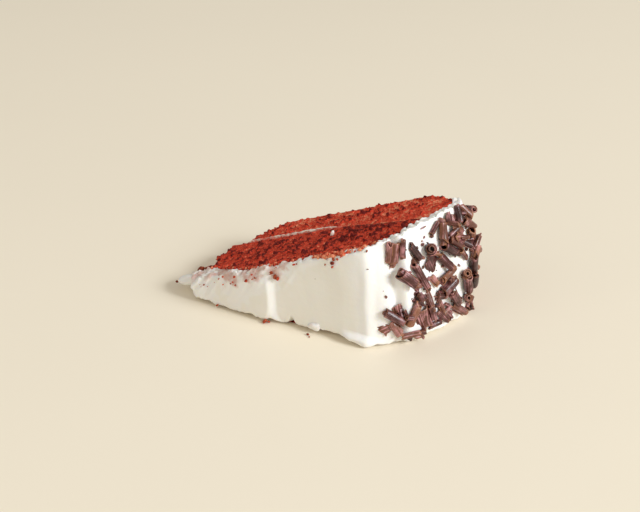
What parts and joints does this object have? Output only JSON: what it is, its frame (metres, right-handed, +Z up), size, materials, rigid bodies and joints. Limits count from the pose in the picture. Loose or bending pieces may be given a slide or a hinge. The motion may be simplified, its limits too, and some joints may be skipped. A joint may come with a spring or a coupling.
{
  "type": "slice of frosted layer cake",
  "caption": "Wedge of red layer cake lying on its cut side, with cream between the layers, white frosting on the top and side, and chocolate curls on the side.",
  "frame": {"origin": "middle of the slice's bounding box, at the height of the lower cut face it lies on", "axes": "+X from the tip to the cake's side, along the lower cut face; +Y from the frosted top to the cake's base; +Z up, away from the lower cut face"},
  "size_m": [0.1224, 0.0626, 0.0504],
  "materials": {
    "sponge_top": "open matte red crumb",
    "sponge_base": "open matte red crumb",
    "filling": "soft cream with crumb smears",
    "frosting": "smooth soft satin, with dark brown curls on the side"
  },
  "bodies": {
    "root": {"sponge_top": "sponge_top", "sponge_base": "sponge_base", "filling": "filling", "frosting": "frosting"}
  },
  "joints": []
}
